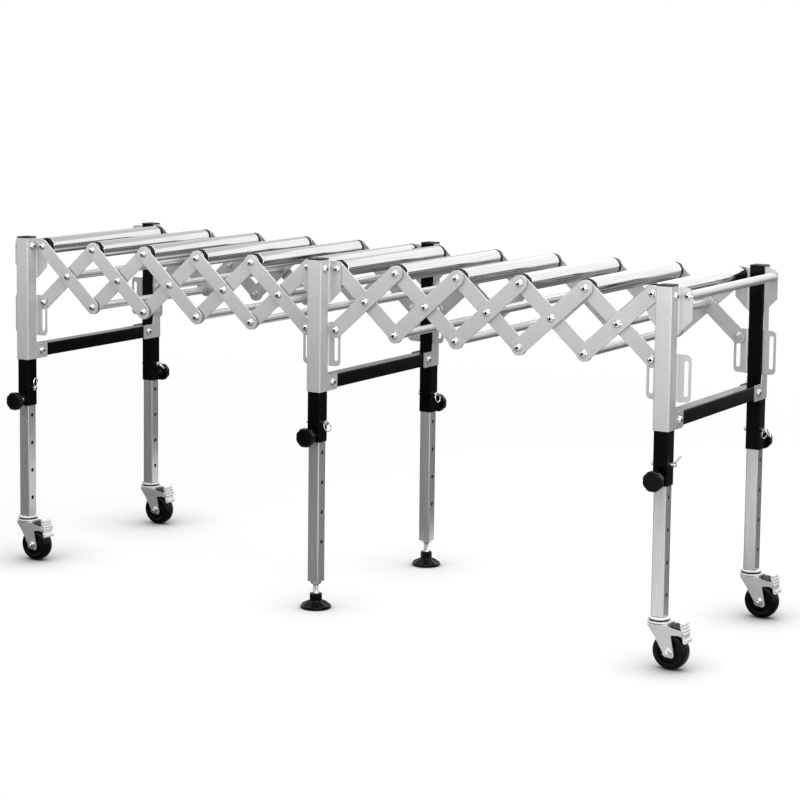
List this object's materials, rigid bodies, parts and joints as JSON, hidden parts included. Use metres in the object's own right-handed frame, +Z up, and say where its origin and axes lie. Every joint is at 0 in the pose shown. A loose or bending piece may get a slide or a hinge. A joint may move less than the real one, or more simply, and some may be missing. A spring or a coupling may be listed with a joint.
{
  "type": "scissor roller conveyor",
  "caption": "Expanding gravity roller conveyor: crossed arms carry free rollers between leg frames with sliding legs, braked casters and levelling feet.",
  "frame": {"origin": "on the floor, under the middle of the overall length and width, with the conveyor drawn out", "axes": "+X along the conveyor towards the end that the casters trail to, -Y towards the near side, +Z up"},
  "size_m": [1.7624, 0.5776, 0.771],
  "materials": {
    "silver_coat": "satin light silver-grey coat",
    "zinc_plate": "satin zinc plate",
    "roller_steel": "bright polished tube",
    "black_plastic": "black moulded plastic",
    "black_rubber": "black wheel",
    "black_coat": "glossy black coat on the post tubes and crossbars"
  },
  "bodies": {
    "left_falling_arm_1": {"left_falling_arm_1": "silver_coat"},
    "left_rising_arm_1": {"left_rising_arm_1": "silver_coat"},
    "left_falling_arm_2": {"left_falling_arm_2": "silver_coat"},
    "left_rising_arm_2": {"left_rising_arm_2": "silver_coat"},
    "left_falling_arm_3": {"left_falling_arm_3": "silver_coat"},
    "left_rising_arm_3": {"left_rising_arm_3": "silver_coat"},
    "left_falling_arm_4": {"left_falling_arm_4": "silver_coat"},
    "left_rising_arm_4": {"left_rising_arm_4": "silver_coat"},
    "left_falling_arm_5": {"left_falling_arm_5": "silver_coat"},
    "left_rising_arm_5": {"left_rising_arm_5": "silver_coat"},
    "left_roller_1": {"left_roller_1": "roller_steel"},
    "left_roller_2": {"left_roller_2": "roller_steel"},
    "left_roller_3": {"left_roller_3": "roller_steel"},
    "left_roller_4": {"left_roller_4": "roller_steel"},
    "left_roller_5": {"left_roller_5": "roller_steel"},
    "left_roller_6": {"left_roller_6": "roller_steel"},
    "right_falling_arm_1": {"right_falling_arm_1": "silver_coat"},
    "right_rising_arm_1": {"right_rising_arm_1": "silver_coat"},
    "right_falling_arm_2": {"right_falling_arm_2": "silver_coat"},
    "right_rising_arm_2": {"right_rising_arm_2": "silver_coat"},
    "right_falling_arm_3": {"right_falling_arm_3": "silver_coat"},
    "right_rising_arm_3": {"right_rising_arm_3": "silver_coat"},
    "right_falling_arm_4": {"right_falling_arm_4": "silver_coat"},
    "right_rising_arm_4": {"right_rising_arm_4": "silver_coat"},
    "right_falling_arm_5": {"right_falling_arm_5": "silver_coat"},
    "right_rising_arm_5": {"right_rising_arm_5": "silver_coat"},
    "right_roller_1": {"right_roller_1": "roller_steel"},
    "right_roller_2": {"right_roller_2": "roller_steel"},
    "right_roller_3": {"right_roller_3": "roller_steel"},
    "right_roller_4": {"right_roller_4": "roller_steel"},
    "right_roller_5": {"right_roller_5": "roller_steel"},
    "right_roller_6": {"right_roller_6": "roller_steel"},
    "left_leg_frame": {"left_leg_frame": "silver_coat", "left_handle_bar": "zinc_plate"},
    "left_near_leg": {"left_near_leg": "zinc_plate"},
    "left_near_knob": {"left_near_knob": "black_plastic"},
    "left_near_caster_fork": {"left_near_caster_fork": "zinc_plate"},
    "left_near_caster_wheel": {"left_near_caster_wheel": "black_rubber"},
    "left_far_leg": {"left_far_leg": "zinc_plate"},
    "left_far_knob": {"left_far_knob": "black_plastic"},
    "left_far_caster_fork": {"left_far_caster_fork": "zinc_plate"},
    "left_far_caster_wheel": {"left_far_caster_wheel": "black_rubber"},
    "middle_leg_frame": {"middle_leg_frame": "silver_coat"},
    "middle_near_leg": {"middle_near_leg": "zinc_plate"},
    "middle_near_knob": {"middle_near_knob": "black_plastic"},
    "middle_near_foot": {"middle_near_foot": "black_plastic"},
    "middle_far_leg": {"middle_far_leg": "zinc_plate"},
    "middle_far_knob": {"middle_far_knob": "black_plastic"},
    "middle_far_foot": {"middle_far_foot": "black_plastic"},
    "right_leg_frame": {"right_leg_frame": "silver_coat", "right_handle_bar": "zinc_plate"},
    "right_near_leg": {"right_near_leg": "zinc_plate"},
    "right_near_knob": {"right_near_knob": "black_plastic"},
    "right_near_caster_fork": {"right_near_caster_fork": "zinc_plate"},
    "right_near_caster_wheel": {"right_near_caster_wheel": "black_rubber"},
    "right_far_leg": {"right_far_leg": "zinc_plate"},
    "right_far_knob": {"right_far_knob": "black_plastic"},
    "right_far_caster_fork": {"right_far_caster_fork": "zinc_plate"},
    "right_far_caster_wheel": {"right_far_caster_wheel": "black_rubber"}
  },
  "joints": [
    {"name": "left_fold", "type": "hinge", "parent": "middle_leg_frame", "child": "left_falling_arm_1", "pos_m": [-0.04773, 0, 0.748], "axis": [0, -1, 0], "range_deg": [0, 36.2]},
    {"name": "left_crossing_1", "type": "hinge", "parent": "left_falling_arm_1", "child": "left_rising_arm_1", "pos_m": [-0.12251, 0, 0.68161], "axis": [0, -1, 0], "range_deg": [-73.4, 1]},
    {"name": "left_top_pivot_2", "type": "hinge", "parent": "left_rising_arm_1", "child": "left_falling_arm_2", "pos_m": [-0.19729, 0, 0.748], "axis": [0, -1, 0], "range_deg": [-1, 73.4]},
    {"name": "left_crossing_2", "type": "hinge", "parent": "left_falling_arm_2", "child": "left_rising_arm_2", "pos_m": [-0.27208, 0, 0.68161], "axis": [0, -1, 0], "range_deg": [-73.4, 1]},
    {"name": "left_top_pivot_3", "type": "hinge", "parent": "left_rising_arm_2", "child": "left_falling_arm_3", "pos_m": [-0.34686, 0, 0.748], "axis": [0, -1, 0], "range_deg": [-1, 73.4]},
    {"name": "left_crossing_3", "type": "hinge", "parent": "left_falling_arm_3", "child": "left_rising_arm_3", "pos_m": [-0.42163, 0, 0.68161], "axis": [0, -1, 0], "range_deg": [-73.4, 1]},
    {"name": "left_top_pivot_4", "type": "hinge", "parent": "left_rising_arm_3", "child": "left_falling_arm_4", "pos_m": [-0.49641, 0, 0.748], "axis": [0, -1, 0], "range_deg": [-1, 73.4]},
    {"name": "left_crossing_4", "type": "hinge", "parent": "left_falling_arm_4", "child": "left_rising_arm_4", "pos_m": [-0.57119, 0, 0.68161], "axis": [0, -1, 0], "range_deg": [-73.4, 1]},
    {"name": "left_top_pivot_5", "type": "hinge", "parent": "left_rising_arm_4", "child": "left_falling_arm_5", "pos_m": [-0.64597, 0, 0.748], "axis": [0, -1, 0], "range_deg": [-1, 73.4]},
    {"name": "left_crossing_5", "type": "hinge", "parent": "left_falling_arm_5", "child": "left_rising_arm_5", "pos_m": [-0.72075, 0, 0.68161], "axis": [0, -1, 0], "range_deg": [-73.4, 1]},
    {"name": "left_frame_pivot", "type": "hinge", "parent": "left_rising_arm_5", "child": "left_leg_frame", "pos_m": [-0.79553, 0, 0.748], "axis": [0, -1, 0], "range_deg": [-1, 37.2]},
    {"name": "left_roller_1_spin", "type": "hinge", "parent": "left_falling_arm_1", "child": "left_roller_1", "pos_m": [-0.04773, 0, 0.748], "axis": [0, 1, 0], "continuous": true},
    {"name": "left_roller_2_spin", "type": "hinge", "parent": "left_rising_arm_1", "child": "left_roller_2", "pos_m": [-0.19729, 0, 0.748], "axis": [0, 1, 0], "continuous": true},
    {"name": "left_roller_3_spin", "type": "hinge", "parent": "left_rising_arm_2", "child": "left_roller_3", "pos_m": [-0.34686, 0, 0.748], "axis": [0, 1, 0], "continuous": true},
    {"name": "left_roller_4_spin", "type": "hinge", "parent": "left_rising_arm_3", "child": "left_roller_4", "pos_m": [-0.49641, 0, 0.748], "axis": [0, 1, 0], "continuous": true},
    {"name": "left_roller_5_spin", "type": "hinge", "parent": "left_rising_arm_4", "child": "left_roller_5", "pos_m": [-0.64597, 0, 0.748], "axis": [0, 1, 0], "continuous": true},
    {"name": "left_roller_6_spin", "type": "hinge", "parent": "left_rising_arm_5", "child": "left_roller_6", "pos_m": [-0.79553, 0, 0.748], "axis": [0, 1, 0], "continuous": true},
    {"name": "right_fold", "type": "hinge", "parent": "middle_leg_frame", "child": "right_falling_arm_1", "pos_m": [0.02766, 0, 0.748], "axis": [0, 1, 0], "range_deg": [0, 36.2]},
    {"name": "right_crossing_1", "type": "hinge", "parent": "right_falling_arm_1", "child": "right_rising_arm_1", "pos_m": [0.10244, 0, 0.68161], "axis": [0, 1, 0], "range_deg": [-73.4, 1]},
    {"name": "right_top_pivot_2", "type": "hinge", "parent": "right_rising_arm_1", "child": "right_falling_arm_2", "pos_m": [0.17722, 0, 0.748], "axis": [0, 1, 0], "range_deg": [-1, 73.4]},
    {"name": "right_crossing_2", "type": "hinge", "parent": "right_falling_arm_2", "child": "right_rising_arm_2", "pos_m": [0.252, 0, 0.68161], "axis": [0, 1, 0], "range_deg": [-73.4, 1]},
    {"name": "right_top_pivot_3", "type": "hinge", "parent": "right_rising_arm_2", "child": "right_falling_arm_3", "pos_m": [0.32678, 0, 0.748], "axis": [0, 1, 0], "range_deg": [-1, 73.4]},
    {"name": "right_crossing_3", "type": "hinge", "parent": "right_falling_arm_3", "child": "right_rising_arm_3", "pos_m": [0.40156, 0, 0.68161], "axis": [0, 1, 0], "range_deg": [-73.4, 1]},
    {"name": "right_top_pivot_4", "type": "hinge", "parent": "right_rising_arm_3", "child": "right_falling_arm_4", "pos_m": [0.47634, 0, 0.748], "axis": [0, 1, 0], "range_deg": [-1, 73.4]},
    {"name": "right_crossing_4", "type": "hinge", "parent": "right_falling_arm_4", "child": "right_rising_arm_4", "pos_m": [0.55112, 0, 0.68161], "axis": [0, 1, 0], "range_deg": [-73.4, 1]},
    {"name": "right_top_pivot_5", "type": "hinge", "parent": "right_rising_arm_4", "child": "right_falling_arm_5", "pos_m": [0.6259, 0, 0.748], "axis": [0, 1, 0], "range_deg": [-1, 73.4]},
    {"name": "right_crossing_5", "type": "hinge", "parent": "right_falling_arm_5", "child": "right_rising_arm_5", "pos_m": [0.70068, 0, 0.68161], "axis": [0, 1, 0], "range_deg": [-73.4, 1]},
    {"name": "right_frame_pivot", "type": "hinge", "parent": "right_rising_arm_5", "child": "right_leg_frame", "pos_m": [0.77546, 0, 0.748], "axis": [0, 1, 0], "range_deg": [-1, 37.2]},
    {"name": "right_roller_1_spin", "type": "hinge", "parent": "right_falling_arm_1", "child": "right_roller_1", "pos_m": [0.02766, 0, 0.748], "axis": [0, 1, 0], "continuous": true},
    {"name": "right_roller_2_spin", "type": "hinge", "parent": "right_rising_arm_1", "child": "right_roller_2", "pos_m": [0.17722, 0, 0.748], "axis": [0, 1, 0], "continuous": true},
    {"name": "right_roller_3_spin", "type": "hinge", "parent": "right_rising_arm_2", "child": "right_roller_3", "pos_m": [0.32678, 0, 0.748], "axis": [0, 1, 0], "continuous": true},
    {"name": "right_roller_4_spin", "type": "hinge", "parent": "right_rising_arm_3", "child": "right_roller_4", "pos_m": [0.47634, 0, 0.748], "axis": [0, 1, 0], "continuous": true},
    {"name": "right_roller_5_spin", "type": "hinge", "parent": "right_rising_arm_4", "child": "right_roller_5", "pos_m": [0.6259, 0, 0.748], "axis": [0, 1, 0], "continuous": true},
    {"name": "right_roller_6_spin", "type": "hinge", "parent": "right_rising_arm_5", "child": "right_roller_6", "pos_m": [0.77546, 0, 0.748], "axis": [0, 1, 0], "continuous": true},
    {"name": "left_near_leg_slide", "type": "slide", "parent": "left_leg_frame", "child": "left_near_leg", "axis": [0, 0, 1], "range_m": [0, 0.264]},
    {"name": "left_near_knob_turn", "type": "hinge", "parent": "left_leg_frame", "child": "left_near_knob", "pos_m": [-0.83323, -0.2528, 0.384], "axis": [0, -1, 0], "range_deg": [0, 720]},
    {"name": "left_near_swivel", "type": "hinge", "parent": "left_near_leg", "child": "left_near_caster_fork", "pos_m": [-0.83323, -0.2368, 0.105], "axis": [0, 0, 1], "continuous": true},
    {"name": "left_near_wheel_spin", "type": "hinge", "parent": "left_near_caster_fork", "child": "left_near_caster_wheel", "pos_m": [-0.80623, -0.2368, 0.0375], "axis": [0, 1, 0], "continuous": true},
    {"name": "left_far_leg_slide", "type": "slide", "parent": "left_leg_frame", "child": "left_far_leg", "axis": [0, 0, 1], "range_m": [0, 0.264]},
    {"name": "left_far_knob_turn", "type": "hinge", "parent": "left_leg_frame", "child": "left_far_knob", "pos_m": [-0.83323, 0.2528, 0.384], "axis": [0, 1, 0], "range_deg": [0, 720]},
    {"name": "left_far_swivel", "type": "hinge", "parent": "left_far_leg", "child": "left_far_caster_fork", "pos_m": [-0.83323, 0.2368, 0.105], "axis": [0, 0, 1], "continuous": true},
    {"name": "left_far_wheel_spin", "type": "hinge", "parent": "left_far_caster_fork", "child": "left_far_caster_wheel", "pos_m": [-0.80623, 0.2368, 0.0375], "axis": [0, 1, 0], "continuous": true},
    {"name": "middle_near_leg_slide", "type": "slide", "parent": "middle_leg_frame", "child": "middle_near_leg", "axis": [0, 0, 1], "range_m": [0, 0.264]},
    {"name": "middle_near_knob_turn", "type": "hinge", "parent": "middle_leg_frame", "child": "middle_near_knob", "pos_m": [-0.01004, -0.2528, 0.384], "axis": [0, -1, 0], "range_deg": [0, 720]},
    {"name": "middle_near_foot_turn", "type": "hinge", "parent": "middle_near_leg", "child": "middle_near_foot", "pos_m": [-0.01004, -0.2368, 0], "axis": [0, 0, 1], "continuous": true},
    {"name": "middle_far_leg_slide", "type": "slide", "parent": "middle_leg_frame", "child": "middle_far_leg", "axis": [0, 0, 1], "range_m": [0, 0.264]},
    {"name": "middle_far_knob_turn", "type": "hinge", "parent": "middle_leg_frame", "child": "middle_far_knob", "pos_m": [-0.01004, 0.2528, 0.384], "axis": [0, 1, 0], "range_deg": [0, 720]},
    {"name": "middle_far_foot_turn", "type": "hinge", "parent": "middle_far_leg", "child": "middle_far_foot", "pos_m": [-0.01004, 0.2368, 0], "axis": [0, 0, 1], "continuous": true},
    {"name": "right_near_leg_slide", "type": "slide", "parent": "right_leg_frame", "child": "right_near_leg", "axis": [0, 0, 1], "range_m": [0, 0.264]},
    {"name": "right_near_knob_turn", "type": "hinge", "parent": "right_leg_frame", "child": "right_near_knob", "pos_m": [0.81316, -0.2528, 0.384], "axis": [0, -1, 0], "range_deg": [0, 720]},
    {"name": "right_near_swivel", "type": "hinge", "parent": "right_near_leg", "child": "right_near_caster_fork", "pos_m": [0.81316, -0.2368, 0.105], "axis": [0, 0, 1], "continuous": true},
    {"name": "right_near_wheel_spin", "type": "hinge", "parent": "right_near_caster_fork", "child": "right_near_caster_wheel", "pos_m": [0.84016, -0.2368, 0.0375], "axis": [0, 1, 0], "continuous": true},
    {"name": "right_far_leg_slide", "type": "slide", "parent": "right_leg_frame", "child": "right_far_leg", "axis": [0, 0, 1], "range_m": [0, 0.264]},
    {"name": "right_far_knob_turn", "type": "hinge", "parent": "right_leg_frame", "child": "right_far_knob", "pos_m": [0.81316, 0.2528, 0.384], "axis": [0, 1, 0], "range_deg": [0, 720]},
    {"name": "right_far_swivel", "type": "hinge", "parent": "right_far_leg", "child": "right_far_caster_fork", "pos_m": [0.81316, 0.2368, 0.105], "axis": [0, 0, 1], "continuous": true},
    {"name": "right_far_wheel_spin", "type": "hinge", "parent": "right_far_caster_fork", "child": "right_far_caster_wheel", "pos_m": [0.84016, 0.2368, 0.0375], "axis": [0, 1, 0], "continuous": true}
  ],
  "couplings": [
    {"joint": "left_crossing_1", "follows": "left_fold", "ratio": -2},
    {"joint": "left_top_pivot_2", "follows": "left_fold", "ratio": 2},
    {"joint": "left_crossing_2", "follows": "left_fold", "ratio": -2},
    {"joint": "left_top_pivot_3", "follows": "left_fold", "ratio": 2},
    {"joint": "left_crossing_3", "follows": "left_fold", "ratio": -2},
    {"joint": "left_top_pivot_4", "follows": "left_fold", "ratio": 2},
    {"joint": "left_crossing_4", "follows": "left_fold", "ratio": -2},
    {"joint": "left_top_pivot_5", "follows": "left_fold", "ratio": 2},
    {"joint": "left_crossing_5", "follows": "left_fold", "ratio": -2},
    {"joint": "left_frame_pivot", "follows": "left_fold", "ratio": 1},
    {"joint": "right_crossing_1", "follows": "right_fold", "ratio": -2},
    {"joint": "right_top_pivot_2", "follows": "right_fold", "ratio": 2},
    {"joint": "right_crossing_2", "follows": "right_fold", "ratio": -2},
    {"joint": "right_top_pivot_3", "follows": "right_fold", "ratio": 2},
    {"joint": "right_crossing_3", "follows": "right_fold", "ratio": -2},
    {"joint": "right_top_pivot_4", "follows": "right_fold", "ratio": 2},
    {"joint": "right_crossing_4", "follows": "right_fold", "ratio": -2},
    {"joint": "right_top_pivot_5", "follows": "right_fold", "ratio": 2},
    {"joint": "right_crossing_5", "follows": "right_fold", "ratio": -2},
    {"joint": "right_frame_pivot", "follows": "right_fold", "ratio": 1}
  ]
}
